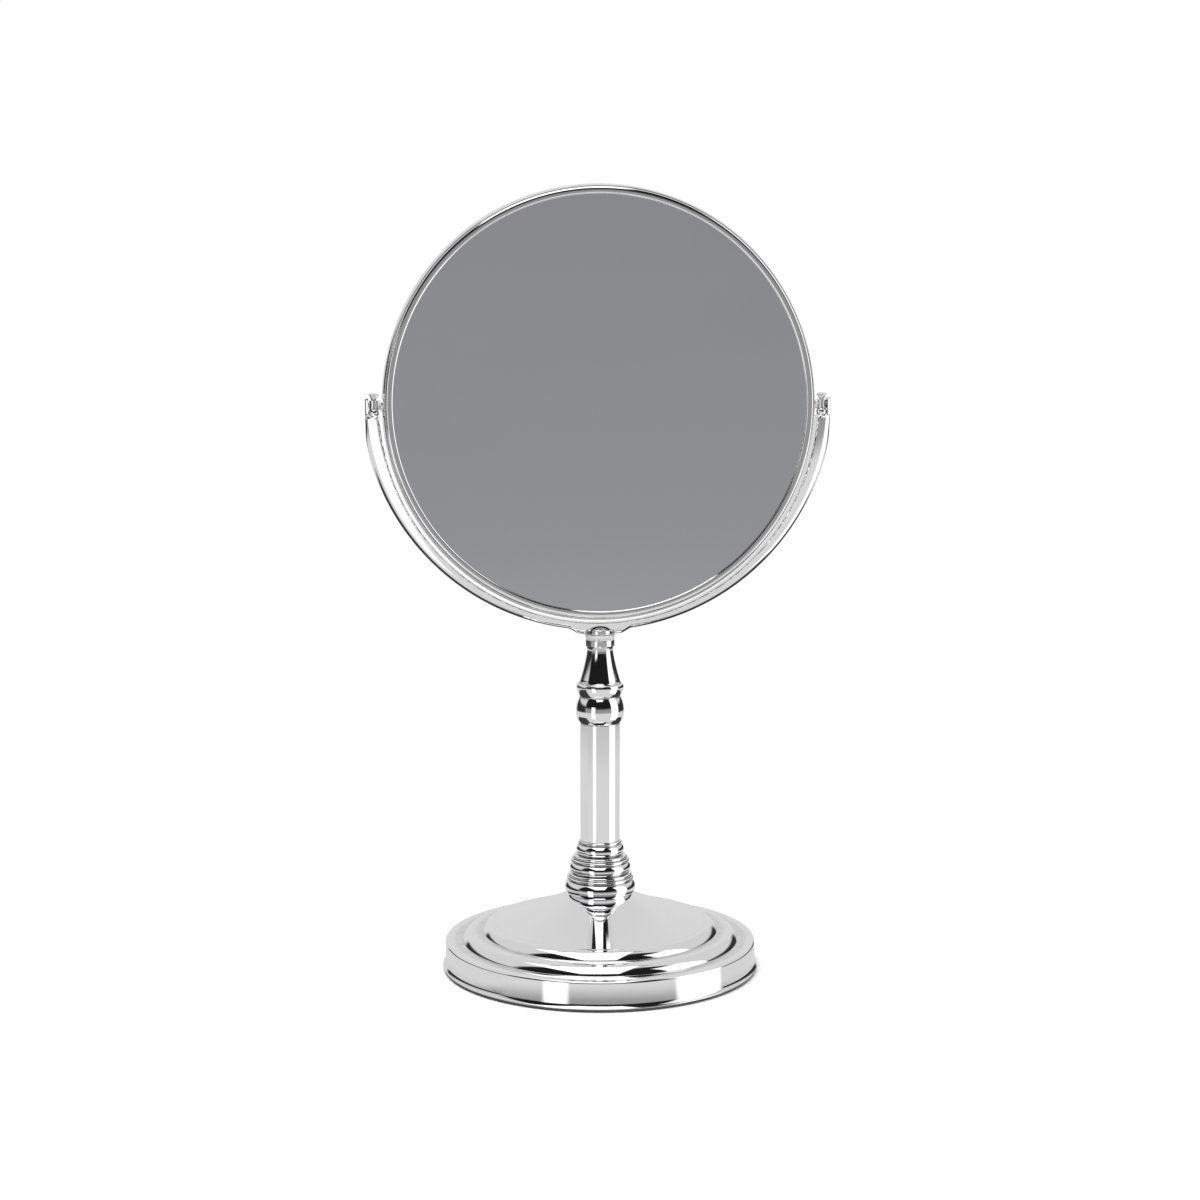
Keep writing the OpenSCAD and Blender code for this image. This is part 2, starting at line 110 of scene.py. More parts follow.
def arc(start, end, radius, steps=14):
    """Points on a circular arc from start to end: centre plus radius times (cos, sin) of evenly
    spaced angles. A positive radius has its centre on the left of the way there."""
    start, end = np.asarray(start, float), np.asarray(end, float)
    way = end - start
    span = np.hypot(*way)
    left = np.array([-way[1], way[0]]) / span
    away = math.sqrt(max(0.0, radius * radius - span * span / 4))
    centre = (start + end) / 2 + math.copysign(away, radius) * left
    first = math.atan2(start[1] - centre[1], start[0] - centre[0])
    turn = 2 * math.asin(min(1.0, span / (2 * abs(radius)))) * math.copysign(1.0, radius)
    angle = first + turn * np.linspace(0, 1, steps + 1)
    return centre + abs(radius) * np.stack([np.cos(angle), np.sin(angle)], 1)


def bulge(low, high, radius, depth, steps=16):
    """Outline of a ring that swells by depth to the given radius, between two heights: an arc of
    radius (height squared / 4 + depth squared) / (2 depth)."""
    height = high - low
    return arc([radius - depth, low], [radius - depth, high],
               (height * height / 4 + depth * depth) / (2 * depth), steps)


def line(*points):
    """Corner points as an outline piece."""
    return np.array(points, float)


def rounded(outline, radius, steps=5, least_turn=14.0):
    """An open outline whose corners are eased: each corner that turns by more than least_turn
    degrees becomes the quadratic curve through start, corner and end at parameter 0 to 1, with a
    guard point on each side that keeps the shading of the faces beside it flat."""
    p = np.asarray(outline, float)
    p = p[np.r_[True, np.hypot(*np.diff(p, axis=0).T) > 1e-6]]
    before, after = p[1:-1] - p[:-2], p[2:] - p[1:-1]
    long_before, long_after = np.hypot(*before.T), np.hypot(*after.T)
    before, after = before / long_before[:, None], after / long_after[:, None]
    turn = np.arccos(np.clip((before * after).sum(1), -1, 1))
    corner = turn > math.radians(least_turn)
    reach = np.minimum(radius * np.tan(turn / 2), 0.4 * np.minimum(long_before, long_after))
    reach = reach[:, None]
    mid = p[1:-1]
    start, end = mid - reach * before, mid + reach * after
    t = np.linspace(0, 1, steps)[None, :, None]
    curve = (1 - t) ** 2 * start[:, None] + 2 * t * (1 - t) * mid[:, None] + t ** 2 * end[:, None]
    eased = np.concatenate([
        (start - 0.2 * reach * before)[:, None], curve, (end + 0.2 * reach * after)[:, None],
    ], 1)
    eased = np.where(corner[:, None, None], eased, mid[:, None])
    flat = np.vstack([p[:1], eased.reshape(-1, 2), p[-1:]])
    return flat[np.r_[True, np.hypot(*np.diff(flat, axis=0).T) > 1e-6]]


def hollowness(outline, reach=0.9):
    """How far each point of an outline lies inside (+) or outside (-) the chord between the points
    that are reach millimetres before and after it, as a share of reach."""
    step = np.hypot(*np.diff(outline, axis=0).T)
    s = np.r_[0, np.cumsum(step)]
    def at(where):
        return np.stack([np.interp(where, s, outline[:, k]) for k in (0, 1)], 1)
    chord = at(s + reach) - at(s - reach)
    long = np.maximum(np.hypot(*chord.T), 1e-9)
    outward = np.stack([chord[:, 1], -chord[:, 0]], 1) / long[:, None]
    middle = (at(s + reach) + at(s - reach)) / 2
    return ((middle - outline) * outward).sum(1) / reach


# ---------- Meshes ----------

def write_mesh(name, shells, body, replaced, material, hollow=None):
    """One object from closed shells of (points in millimetres, arrays of faces). The shells'
    points follow one another, so each shell's faces count on from its first point."""
    points = np.concatenate([shell[0] for shell in shells])
    first = np.cumsum([0] + [len(shell[0]) for shell in shells])
    faces = [face for shell, start in zip(shells, first) for group in shell[1]
             for face in (group + start).tolist()]
    mesh = bpy.data.meshes.new(name)
    mesh.from_pydata((points * MM).tolist(), [], faces)
    work = bmesh.new()
    work.from_mesh(mesh)
    bmesh.ops.recalc_face_normals(work, faces=work.faces)
    work.to_mesh(mesh)
    work.free()
    mesh.shade_smooth()
    if hollow is not None:
        layer = mesh.attributes.new("hollow", "FLOAT", "POINT")
        layer.data.foreach_set("value", np.asarray(hollow, np.float32))
    piece = bpy.data.objects.new(name, mesh)
    bpy.context.scene.collection.objects.link(piece)
    mesh.materials.append(material)
    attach(piece, body)
    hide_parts(*replaced)
    return piece


def quads(rows, columns, wrap_rows=False):
    """Faces of a grid of rows by columns that closes on itself along the columns, and along the
    rows too when wrap_rows is set."""
    i = np.arange(rows if wrap_rows else rows - 1)[:, None]
    j = np.arange(columns)[None, :]
    k, l = (i + 1) % rows, (j + 1) % columns
    return np.stack([i * columns + j, i * columns + l, k * columns + l, k * columns + j],
                    -1).reshape(-1, 4)


def turned(outline, segments, axis="Z", centre=(0.0, 0.0, 0.0), ring=False):
    """Closed surface of revolution: the outline point (r, h) at angle a lies at r cos a, r sin a
    across the axis and h along it. A ring's outline closes on itself. Any other begins and ends
    on the axis, and each end is one point. Also gives the outline point that each point is of."""
    outline = np.asarray(outline, float)
    inner = outline if ring else outline[1:-1]
    a = np.linspace(0, 2 * math.pi, segments, endpoint=False)
    r, h = inner[:, :1], inner[:, 1:]
    across, up, along = r * np.cos(a), r * np.sin(a), h + 0 * a
    points = np.stack([across, up, along], -1).reshape(-1, 3)
    rows = len(inner)
    faces = [quads(rows, segments, ring)]
    source = np.repeat(np.arange(rows), segments)
    if not ring:
        j = np.arange(segments)
        low, high = rows * segments, rows * segments + 1
        points = np.vstack([points, [0, 0, outline[0, 1]], [0, 0, outline[-1, 1]]])
        foot = np.stack([np.full(segments, low), (j + 1) % segments, j], 1)
        last = (rows - 1) * segments
        top = np.stack([np.full(segments, high), last + j, last + (j + 1) % segments], 1)
        faces += [foot, top]
        source = np.r_[source + 1, 0, rows + 1]
    if axis == "Y":
        points = points[:, [0, 2, 1]]
    if axis == "X":
        points = points[:, [2, 0, 1]]
    return (points + np.array(centre), faces), source


def turned_piece(name, outline, segments, body, replaced, slot, material, **how):
    """A turned piece with its hollowness written as a vertex attribute."""
    shell, source = turned(outline, segments, **how)
    return write_mesh(name, [shell], body, replaced, material,
                      hollowness(np.asarray(outline))[source])


# ---------- Shader groups ----------

def new_group(name, inputs, outputs):
    """An empty shader group with named float sockets, and its input and output nodes."""
    group = bpy.data.node_groups.new(name, "ShaderNodeTree")
    for socket, default in inputs:
        made = group.interface.new_socket(socket, in_out="INPUT", socket_type="NodeSocketFloat")
        made.default_value = default
    for socket in outputs:
        group.interface.new_socket(socket, in_out="OUTPUT", socket_type="NodeSocketFloat")
    return group, group.nodes.new("NodeGroupInput"), group.nodes.new("NodeGroupOutput")


def feed(tree, socket, value):
    """Gives an input a plain value, or links it when the value is another node's socket."""
    if isinstance(value, bpy.types.NodeSocket):
        tree.links.new(value, socket)
    else:
        socket.default_value = value


def math_node(tree, operation, *values, clamp=False):
    """A Math node whose inputs are numbers or sockets. Returns its result."""
    node = tree.nodes.new("ShaderNodeMath")
    node.operation = operation
    node.use_clamp = clamp
    for socket, value in zip(node.inputs, values):
        feed(tree, socket, value)
    return node.outputs[0]


def smooth_step(tree, value, low, high, to_low=0.0, to_high=1.0):
    """A Map Range node that eases from to_low at low to to_high at high."""
    node = tree.nodes.new("ShaderNodeMapRange")
    node.interpolation_type = "SMOOTHSTEP"
    tree.links.new(value, node.inputs["Value"])
    for socket, number in (("From Min", low), ("From Max", high), ("To Min", to_low),
                           ("To Max", to_high)):
        node.inputs[socket].default_value = number
    return node.outputs["Result"]


def noise(tree, coordinate, scale, detail=3.0, roughness=0.5, stretch=None):
    """A Noise Texture, with its coordinate stretched first when stretch is given."""
    if stretch:
        mapping = tree.nodes.new("ShaderNodeMapping")
        mapping.inputs["Scale"].default_value = stretch
        tree.links.new(coordinate, mapping.inputs["Vector"])
        coordinate = mapping.outputs["Vector"]
    node = tree.nodes.new("ShaderNodeTexNoise")
    tree.links.new(coordinate, node.inputs["Vector"])
    feed(tree, node.inputs["Scale"], scale)
    node.inputs["Detail"].default_value = detail
    node.inputs["Roughness"].default_value = roughness
    return node.outputs["Fac"]


def object_coordinate(tree):
    """Place on the piece, in metres from the object's origin."""
    return tree.nodes.new("ShaderNodeTexCoord").outputs["Object"]


def smudges_group():
    """Cloudy marks left by fingers and cloths."""
    group, given, result = new_group("Handling Smudges", [("Scale", 30.0), ("Spread", 0.5)],
                                     ["Mask"])
    at = object_coordinate(group)
    clouds = noise(group, at, given.outputs["Scale"], 5.0, 0.62)
    wipes = noise(group, at, math_node(group, "MULTIPLY", given.outputs["Scale"], 0.8), 2.0, 0.5,
                  (0.35, 0.35, 2.2))
    both = math_node(group, "MULTIPLY", clouds, wipes)
    level = math_node(group, "SUBTRACT", 0.34, math_node(group, "MULTIPLY",
                                                         given.outputs["Spread"], 0.22))
    mask = math_node(group, "MULTIPLY", math_node(group, "SUBTRACT", both, level), 4.5, clamp=True)
    group.links.new(mask, result.inputs["Mask"])
    return group


def scratches_group():
    """Hairline wiping marks: thin ridges of stretched noise, in patches."""
    group, given, result = new_group("Hairline Scratches", [("Scale", 900.0), ("Density", 0.5)],
                                     ["Mask"])
    at = object_coordinate(group)
    one = noise(group, at, given.outputs["Scale"], 1.0, 0.5, (0.05, 1.0, 1.0))
    other = noise(group, at, given.outputs["Scale"], 1.0, 0.5, (1.0, 0.07, 0.9))
    ridge = math_node(group, "ABSOLUTE", math_node(group, "SUBTRACT", one, other))
    thin = smooth_step(group, ridge, 0.0, 0.022, 1.0, 0.0)
    patch = smooth_step(group, noise(group, at, 55.0, 2.0), 0.42, 0.66)
    mask = math_node(group, "MULTIPLY", math_node(group, "MULTIPLY", thin, patch),
                     given.outputs["Density"], clamp=True)
    group.links.new(mask, result.inputs["Mask"])
    return group


def hollow_film_and_shade_group():
    """Mask of dull film and painted shade in hollows, from the pieces' hollow attribute broken up by noise."""
    group, given, result = new_group("Film and Painted Shade in Hollows", [("Depth", 0.25), ("Amount", 0.6)],
                                     ["Mask"])
    hollow = group.nodes.new("ShaderNodeAttribute")
    hollow.attribute_name = "hollow"
    share = math_node(group, "DIVIDE", hollow.outputs["Fac"], given.outputs["Depth"], clamp=True)
    broken = smooth_step(group, noise(group, object_coordinate(group), 220.0, 3.0), 0.3, 0.7,
                         0.45, 1.0)
    mask = math_node(group, "MULTIPLY", math_node(group, "MULTIPLY", share, broken),
                     given.outputs["Amount"], clamp=True)
    group.links.new(mask, result.inputs["Mask"])
    return group


def grain_group():
    """Moulded or cast grain: two sizes of noise, as a height and as a mask."""
    group, given, result = new_group("Surface Grain", [("Scale", 900.0), ("Coarseness", 0.4)],
                                     ["Height", "Mask"])
    at = object_coordinate(group)
    fine = noise(group, at, given.outputs["Scale"], 4.0, 0.6)
    coarse = noise(group, at, math_node(group, "MULTIPLY", given.outputs["Scale"], 0.12), 3.0)
    height = math_node(group, "ADD", fine, math_node(group, "MULTIPLY", coarse,
                                                     given.outputs["Coarseness"]))
    group.links.new(height, result.inputs["Height"])
    group.links.new(smooth_step(group, coarse, 0.35, 0.65), result.inputs["Mask"])
    return group


GROUP_MAKERS = {
    "Handling Smudges": smudges_group,
    "Hairline Scratches": scratches_group,
    "Film and Painted Shade in Hollows": hollow_film_and_shade_group,
    "Surface Grain": grain_group,
}


def effect(tree, name, **values):
    """Places a shared shader group, built on its first use, with this material's own values."""
    node = tree.nodes.new("ShaderNodeGroup")
    node.node_tree = bpy.data.node_groups.get(name) or GROUP_MAKERS[name]()
    for socket, value in values.items():
        node.inputs[socket].default_value = value
    return node


# ---------- Materials ----------

def new_material(name, colour, metallic, roughness):
    """A material with one Principled shader, and its tree and shader."""
    material = bpy.data.materials.new(name)
    material.use_nodes = True
    tree = material.node_tree
    shader = tree.nodes["Principled BSDF"]
    shader.inputs["Base Color"].default_value = (*colour, 1.0)
    shader.inputs["Metallic"].default_value = metallic
    shader.inputs["Roughness"].default_value = roughness
    return material, tree, shader


# Places of a Mix node's inputs A and B and of its result. Each kind has its own, all named alike.
MIX_VALUE = (2, 3, 0)
MIX_COLOUR = (6, 7, 2)


def mix_value(tree, mask, low, high):
    """low where the mask is 0, high where it is 1."""
    node = tree.nodes.new("ShaderNodeMix")
    tree.links.new(mask, node.inputs["Factor"])
    a, b, result = MIX_VALUE
    feed(tree, node.inputs[a], low)
    feed(tree, node.inputs[b], high)
    return node.outputs[result]


def mix_colour(tree, mask, low, high):
    """Colour that runs from low to high with the mask. Each is a socket or three numbers."""
    node = tree.nodes.new("ShaderNodeMix")
    node.data_type = "RGBA"
    tree.links.new(mask, node.inputs["Factor"])
    a, b, result = MIX_COLOUR
    for place, colour in ((a, low), (b, high)):
        linked = isinstance(colour, bpy.types.NodeSocket)
        feed(tree, node.inputs[place], colour if linked else (*colour, 1.0))
    return node.outputs[result]


def add_bump(tree, shader, height, distance, strength=1.0):
    """Bump from a height that is given in shares of distance, in metres."""
    node = tree.nodes.new("ShaderNodeBump")
    node.inputs["Distance"].default_value = distance
    node.inputs["Strength"].default_value = strength
    tree.links.new(height, node.inputs["Height"])
    tree.links.new(node.outputs["Normal"], shader.inputs["Normal"])


def plating(name, colour, smudge, ripple, ripple_scale=60.0, film=0.5, roughness=0.03):
    """Bright plating: mirror-like metal with smudges, hairlines, a slow ripple from the polishing and a dull film
    in its hollows, where its colour is darkened as painted shade."""
    material, tree, shader = new_material(name, colour, 1.0, roughness)
    smudges = effect(tree, "Handling Smudges", Scale=30.0, Spread=0.5).outputs["Mask"]
    hairs = effect(tree, "Hairline Scratches", Scale=700.0, Density=0.5).outputs["Mask"]
    # The hollow mask raises the roughness in the hollows (a real dull film) and darkens their colour (painted
    # shade).
    film_and_shade_mask = effect(tree, "Film and Painted Shade in Hollows", Depth=0.22, Amount=film).outputs["Mask"]
    dull = math_node(tree, "ADD", roughness, math_node(tree, "MULTIPLY", smudges, smudge))
    dull = math_node(tree, "ADD", dull, math_node(tree, "MULTIPLY", hairs, 0.05))
    dull = math_node(tree, "ADD", dull, math_node(tree, "MULTIPLY", film_and_shade_mask, 0.22))
    tree.links.new(dull, shader.inputs["Roughness"])
    hazed = mix_colour(tree, math_node(tree, "MULTIPLY", smudges, 0.5), colour,
                       [c * 0.93 for c in colour])
    # Painted shade: in the hollows the plating's colour runs towards this dark grey, where the grooves would lie
    # in shade.
    filmed_and_shaded = mix_colour(tree, film_and_shade_mask, hazed, (0.36, 0.355, 0.34))
    tree.links.new(filmed_and_shaded, shader.inputs["Base Color"])
    slow = noise(tree, object_coordinate(tree), ripple_scale, 1.0)
    add_bump(tree, shader, slow, ripple)
    return material


def silvered_glass(name, colour):
    """Back-silvered mirror glass: a flawless metal film under glass with light smudges."""
    material, tree, shader = new_material(name, colour, 1.0, 0.0)
    smudges = effect(tree, "Handling Smudges", Scale=16.0, Spread=0.35).outputs["Mask"]
    hairs = effect(tree, "Hairline Scratches", Scale=500.0, Density=0.3).outputs["Mask"]
    dull = math_node(tree, "MULTIPLY", math_node(tree, "ADD", smudges, hairs), 0.035)
    tree.links.new(dull, shader.inputs["Roughness"])
    tree.links.new(mix_colour(tree, smudges, colour, [c * 0.965 for c in colour]),
                   shader.inputs["Base Color"])
    shader.inputs["Coat Weight"].default_value = 0.3
    shader.inputs["Coat Roughness"].default_value = 0.0
    return material


def rubber(name, colour):
    """Dark soft rubber: fine grain, pale dust in patches, and a roughness that varies with the grain."""
    material, tree, shader = new_material(name, colour, 0.0, 0.7)
    grain = effect(tree, "Surface Grain", Scale=1400.0, Coarseness=0.5)
    dust = effect(tree, "Handling Smudges", Scale=45.0, Spread=0.6).outputs["Mask"]
    pale = [0.6 * c + 0.09 for c in colour]
    tree.links.new(mix_colour(tree, math_node(tree, "MULTIPLY", dust, 0.7), colour, pale),
                   shader.inputs["Base Color"])
    tree.links.new(smooth_step(tree, grain.outputs["Mask"], 0.0, 1.0, 0.62, 0.82),
                   shader.inputs["Roughness"])
    add_bump(tree, shader, grain.outputs["Height"], 0.0001, 0.7)
    return material


def moulded(name, colour, roughness, grain_scale=1100.0, depth=0.00004):
    """Moulded plastic, board or foam: slight colour drift and a fine grain."""
    material, tree, shader = new_material(name, colour, 0.0, roughness)
    grain = effect(tree, "Surface Grain", Scale=grain_scale, Coarseness=0.5)
    tree.links.new(mix_colour(tree, grain.outputs["Mask"], colour, [c * 0.88 for c in colour]),
                   shader.inputs["Base Color"])
    tree.links.new(smooth_step(tree, grain.outputs["Mask"], 0.0, 1.0, roughness,
                               min(1.0, roughness + 0.12)), shader.inputs["Roughness"])
    add_bump(tree, shader, grain.outputs["Height"], depth, 0.8)
    return material


def bare_metal(name, colour, roughness, depth=0.00003, patina=(0.2, 0.17, 0.14)):
    """Unplated metal: cut or cast grain, with a little patina in patches."""
    material, tree, shader = new_material(name, colour, 1.0, roughness)
    grain = effect(tree, "Surface Grain", Scale=1600.0, Coarseness=0.8)
    hairs = effect(tree, "Hairline Scratches", Scale=1500.0, Density=0.8).outputs["Mask"]
    tree.links.new(mix_colour(tree, math_node(tree, "MULTIPLY", grain.outputs["Mask"], 0.25),
                              colour, patina), shader.inputs["Base Color"])
    dull = math_node(tree, "ADD", roughness, math_node(tree, "MULTIPLY", hairs, 0.18))
    tree.links.new(dull, shader.inputs["Roughness"])
    add_bump(tree, shader, grain.outputs["Height"], depth, 0.6)
    return material


# ---------- Settings ----------

def record_colour(slot):
    """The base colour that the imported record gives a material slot."""
    return [m["base_color"][:3] for m in frame["record"]["materials"] if m["slot"] == slot][0]


class MirrorSizes(bpy.types.PropertyGroup):
    """Fine shaping that the visible surfaces add to the CAD model."""

    edge_ease: bpy.props.FloatProperty(
        name="Edge Ease", description="Radius to which the turned edges are polished",
        default=0.00025, min=0.00005, max=0.0006, unit="LENGTH", subtype="DISTANCE")
    cast_ease: bpy.props.FloatProperty(
        name="Cast Edge Ease", description="Width of the eased edges of the cast yoke",
        default=0.00045, min=0.0001, max=0.0008, unit="LENGTH", subtype="DISTANCE")
    pad_groove: bpy.props.FloatProperty(
        name="Pad Groove Depth", description="Depth of the rings moulded under the pad",
        default=0.0005, min=0.0, max=0.0008, unit="LENGTH", subtype="DISTANCE")
    pad_rings: bpy.props.IntProperty(
        name="Pad Rings", description="Number of rings moulded under the pad", default=9, min=0,
        max=14)
    segments: bpy.props.IntProperty(
        name="Steps Round", description="Mesh steps round the large turned pieces", default=320,
        min=96, max=384)


class MirrorFinish(bpy.types.PropertyGroup):
    """Colours and finishes of the mirror."""

    plating_colour: bpy.props.FloatVectorProperty(
        name="Plating", description="Colour of the bright plating", default=(0.93, 0.93, 0.94),
        size=3, min=0.0, max=1.0, subtype="COLOR")
    glass_colour: bpy.props.FloatVectorProperty(
        name="Mirror Glass", description="Colour of the silvered glass",
        default=(0.885, 0.89, 0.925), size=3, min=0.0, max=1.0, subtype="COLOR")
    pad_colour: bpy.props.FloatVectorProperty(
        name="Pad", description="Colour of the soft pad under the base",
        default=record_colour("dark_rubber"), size=3, min=0.0, max=1.0, subtype="COLOR")
    smudge: bpy.props.FloatProperty(
        name="Smudges", description="How dull the marks of handling are", default=0.05, min=0.0,
        max=0.3, subtype="FACTOR")


# How each kind of plated piece was polished: height of the ripple in metres, how close its waves lie, and how much
# film stays in the hollows, with the painted shade that darkens their colour
POLISH = {
    "spun plating": {"ripple": 0.00005, "ripple_scale": 24.0, "film": 0.35},
    "turned plating": {"ripple": 0.00001, "film": 0.85},
    "tube plating": {"ripple": 0.000008, "ripple_scale": 90.0},
    "cast plating": {"ripple": 0.00003, "ripple_scale": 45.0},
    "hoop plating": {"ripple": 0.00002, "ripple_scale": 30.0},
}


def chrome(kind):
    """The plating of one kind of piece, made once."""
    made = bpy.data.materials.get(kind)
    if made:
        return made
    finish = bpy.context.scene.mirror_finish
    return plating(kind, tuple(finish.plating_colour), finish.smudge, **POLISH[kind])


# ---------- Base ----------

class MIRROR_OT_pad(bpy.types.Operator):
    """Soft pad with a rounded rim and moulded rings underneath"""

    bl_idname = "mirror.pad"
    bl_label = "Non-slip Pad"

    def execute(self, context):
        sizes, finish = context.scene.mirror_sizes, context.scene.mirror_finish
        rings, depth = sizes.pad_rings, sizes.pad_groove / MM
        edge, ringed_r, plain_r = 0.45, PAD_R - 3, 4
        # Underside: grooves where a cosine of the radius passes a share of its height, flat
        # between them. Each groove's depth is the rest of the cosine, raised to a power.
        share, power = 0.72, 0.6
        r = np.linspace(0, ringed_r, 400)
        wave = np.cos(2 * math.pi * rings * r / ringed_r)
        groove = depth * np.clip((wave - share) / 0.28, 0, 1) ** power
        groove[r < plain_r] = 0
        under = np.stack([r, groove], 1)
        outline = np.vstack([
            under, line([PAD_R - edge, 0]),
            arc([PAD_R - edge, 0], [PAD_R, edge], edge, 6),
            arc([PAD_R, PAD_TOP - edge], [PAD_R - edge, PAD_TOP], edge, 6),
            line([BASE_R - 4, PAD_TOP], [0, PAD_TOP]),
        ])
        turned_piece("non_slip_pad_soft", rounded(outline, 0.05), 192, "stand",
                     ["non_slip_pad"], "dark_rubber",
                     rubber("soft pad rubber", tuple(finish.pad_colour)))
        return {"FINISHED"}


class MIRROR_OT_base_cover(bpy.types.Operator):
    """Spun cover: flared foot, wall, flat ring, two rounded steps and a hollow rise"""

    bl_idname = "mirror.base_cover"
    bl_label = "Base Cover"

    def execute(self, context):
        sizes = context.scene.mirror_sizes
        rim_h, rim_edge, wall_t, rise_hollow_r = 14.1, 1.0, 1.2, 250
        # Widths, from the wall inwards: flat ring, lower step, ledge and upper step
        flat_w, step_w, ledge_w, upper_w = 8.4, 4.4, 5.5, 5.5
        step = BASE_R - flat_w
        ledge = step - step_w
        upper_step = ledge - ledge_w
        rise = upper_step - upper_w
        ledge_z, rise_z = rim_h + 4.1, rim_h + 8.2
        inner = BASE_R - wall_t
        foot = PAD_TOP + 0.02
        outside = np.vstack([
            line([inner, PAD_TOP + 3], [inner, foot], [FOOT_R, foot]),
            arc([FOOT_R, PAD_TOP + 0.4], [BASE_R, PAD_TOP + 2.4], -3, 8),
            arc([BASE_R, rim_h - rim_edge], [BASE_R - rim_edge, rim_h], rim_edge, 10),
            arc([step, rim_h], [ledge, ledge_z], step_w * 1.3, 22),
            arc([upper_step, ledge_z], [rise, rise_z], upper_w * 1.2, 22),
            arc([rise, rise_z], [COLLAR_FOOT_R, BASE_TOP], -rise_hollow_r, 60),
            line([0, BASE_TOP]),
        ])
        outline = np.vstack([line([0, PAD_TOP + 3]), outside])
        turned_piece("base_cover_plated", rounded(outline, sizes.edge_ease / MM),
                     sizes.segments, "stand", ["base_cover"], "chrome",
                     chrome("spun plating"))
        return {"FINISHED"}


# ---------- Column ----------

class MIRROR_OT_collar(bpy.types.Operator):
    """Turned collar: three swelling rings with fine beads between them"""

    bl_idname = "mirror.collar"
    bl_label = "Ring Collar"

    def execute(self, context):
        sizes = context.scene.mirror_sizes
        large, fine, middle, small, lip, over_tube = 7.2, 1.6, 5.6, 5.6, 1.6, 2
        taper = (COLLAR_R - TUBE_R - over_tube) / 6
        heights = np.cumsum([0, large, fine, fine, middle, fine, fine, small, lip])
        # Each ring: height of its foot and top, its radius in tapers from the large ring, swell
        rings = [(0, 0, COLLAR_SWELL), (1, 1.0, 0.5), (2, 1.9, 0.5), (3, 2.5, 1.7),
                 (4, 3.2, 0.5), (5, 4.4, 0.5)]
        radii = [(k, COLLAR_R - share * taper, swell) for k, share, swell in rings]
        radii += [(6, TUBE_R + over_tube, 1.5), (7, TUBE_R + 1, 0.5)]
        parts = [line([0, 0])]
        parts += [bulge(heights[k], heights[k + 1], radius, swell, 18 if swell > 1 else 8)
                  for k, radius, swell in radii]
        parts += [line([TUBE_R - 1, heights[-1]], [0, heights[-1]])]
        outline = np.vstack(parts) + [0, BASE_TOP]
        turned_piece("ring_collar_plated", rounded(outline, sizes.edge_ease / MM, 4), 224,
                     "stand", ["ring_collar"], "chrome",
                     chrome("turned plating"))
        return {"FINISHED"}


class MIRROR_OT_tube(bpy.types.Operator):
    """Plain tube between the collar and the baluster"""

    bl_idname = "mirror.tube"
    bl_label = "Column Tube"

    def execute(self, context):
        sizes = context.scene.mirror_sizes
        rows, gap = 30, 0.03
        heights = np.linspace(TUBE_FOOT + gap, TUBE_TOP - gap, rows)
        wall = np.stack([np.full(rows, TUBE_R), heights], 1)
        outline = np.vstack([line([0, heights[0]]), wall, line([0, heights[-1]])])
        turned_piece("column_tube_plated", rounded(outline, sizes.edge_ease / MM), 192, "stand",
                     ["column_tube"], "chrome_tube",
                     chrome("tube plating"))
        return {"FINISHED"}


class MIRROR_OT_baluster(bpy.types.Operator):
    """Turned baluster: skirt, cup, ring, bell, neck and crown"""

    bl_idname = "mirror.baluster"
    bl_label = "Baluster"

    def execute(self, context):
        sizes = context.scene.mirror_sizes
        ring_r, groove_r = TUBE_R + 1.85, TUBE_R + 0.3
        skirt, groove, ring = 4.4, 13.0, 17.6
        ring_top, bell, neck_z = 19.0, 21.2, 34.8
        top = BALUSTER_TOP - TUBE_TOP
        neck_r = WASHER_HIGH[0] - 0.9
        crown_r = neck_r + 0.7
        outline = np.vstack([
            line([0, 0.02], [TUBE_R, 0.02]),
            arc([TUBE_R, 0.2], [ring_r, skirt - 0.5], 9, 12),
            arc([ring_r, skirt], [groove_r, groove], 14, 22),
            arc([groove_r, groove + 0.4], [ring_r, ring], 12, 14),
            arc([ring_r, ring + 0.3], [ring_r - 0.3, ring_top], 3, 6),
            arc([ring_r - 0.4, ring_top], [TUBE_R, bell], -3, 10),
            arc([TUBE_R, bell], [neck_r, neck_z], -98, 24),
            arc([neck_r, neck_z + 1.4], [crown_r, neck_z + 3.0], -4, 8),
            line([crown_r, top], [0, top]),
        ]) + [0, TUBE_TOP]
        turned_piece("baluster_plated", rounded(outline, sizes.edge_ease / MM), 192, "stand",
                     ["baluster"], "chrome", chrome("turned plating"))
        return {"FINISHED"}


# ---------- Yoke ----------

